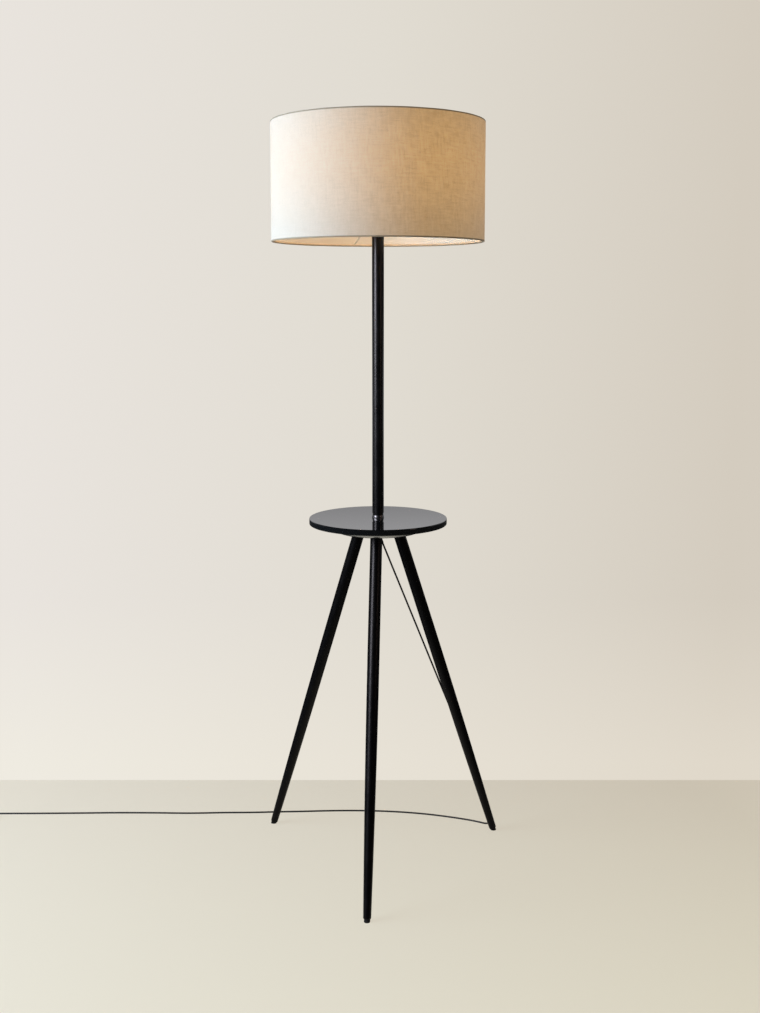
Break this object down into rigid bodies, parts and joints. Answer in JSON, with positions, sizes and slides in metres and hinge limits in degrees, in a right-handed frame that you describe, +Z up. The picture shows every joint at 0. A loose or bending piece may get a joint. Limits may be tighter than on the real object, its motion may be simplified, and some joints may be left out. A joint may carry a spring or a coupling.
{
  "type": "floor lamp with table",
  "caption": "Tripod floor lamp with a round gloss side table, slim pole, linen drum shade and a mains lead with flat plug.",
  "frame": {"origin": "on the pole's axis at floor level, between the three feet", "axes": "+Z up along the pole; the front leg points to -Y; the lead leaves to -X"},
  "size_m": [1.3029, 0.5552, 1.626],
  "materials": {
    "gloss_lacquer": "high-gloss black lacquer",
    "polished_aluminium": "polished",
    "zinc_steel": "zinc plated",
    "black_leg": "satin black lacquer on turned wood",
    "black_plastic": "fine moulded grain",
    "black_rubber": "matt",
    "polished_steel": "polished",
    "black_pole": "satin black paint",
    "brass": "plain",
    "white_ceramic": "glazed",
    "bulb_metal": "nickel plated",
    "opal_glass": "opal white, lit",
    "white_wire": "white powder coat",
    "shade_liner": "smooth white laminate",
    "linen": "natural linen weave",
    "lead_sheath": "smooth black sheath",
    "core_sheath": "smooth",
    "plug_plastic": "fine moulded grain"
  },
  "bodies": {
    "lamp": {"table_top": "gloss_lacquer", "hub_plate": "polished_aluminium", "table_screws": "zinc_steel", "leg_front": "black_leg", "leg_right": "black_leg", "leg_left": "black_leg", "leg_seats": "black_plastic", "leg_studs": "zinc_steel", "foot_glides": "black_rubber", "centre_rod": "zinc_steel", "rod_washer": "zinc_steel", "rod_nut": "zinc_steel", "base_ring": "polished_steel", "pole_foot": "black_pole", "pole_tube": "black_pole", "pole_top_plug": "black_pole", "holder_nipple": "brass", "nipple_nut": "brass", "lampholder_cap": "black_plastic", "lampholder_insert": "white_ceramic", "terminal_screws": "brass", "screw_shell": "brass", "centre_contact": "brass", "lampholder_shell": "black_plastic", "clamp_ring_lower": "black_plastic", "clamp_ring_upper": "black_plastic", "bulb_cap": "bulb_metal", "bulb_contact": "brass", "bulb_glass": "opal_glass", "shade_fitter_ring": "white_wire", "shade_spokes": "white_wire", "shade_bottom_ring": "white_wire", "shade_top_ring": "white_wire", "shade_liner": "shade_liner", "shade_cover": "linen", "inner_lead": "lead_sheath", "lead_cores": "core_sheath", "strain_relief": "lead_sheath", "lead_run": "lead_sheath", "lead_clips": "black_plastic", "lead_coil": "lead_sheath", "coil_tie": "black_plastic", "plug_body": "plug_plastic", "pin_sleeves": "plug_plastic", "plug_pins": "bulb_metal"},
    "switch_bar": {"switch_bar": "black_plastic"}
  },
  "joints": [
    {"name": "switch_push", "type": "slide", "parent": "lamp", "child": "switch_bar", "axis": [-1, 0, 0], "range_m": [0, 0.007]}
  ]
}
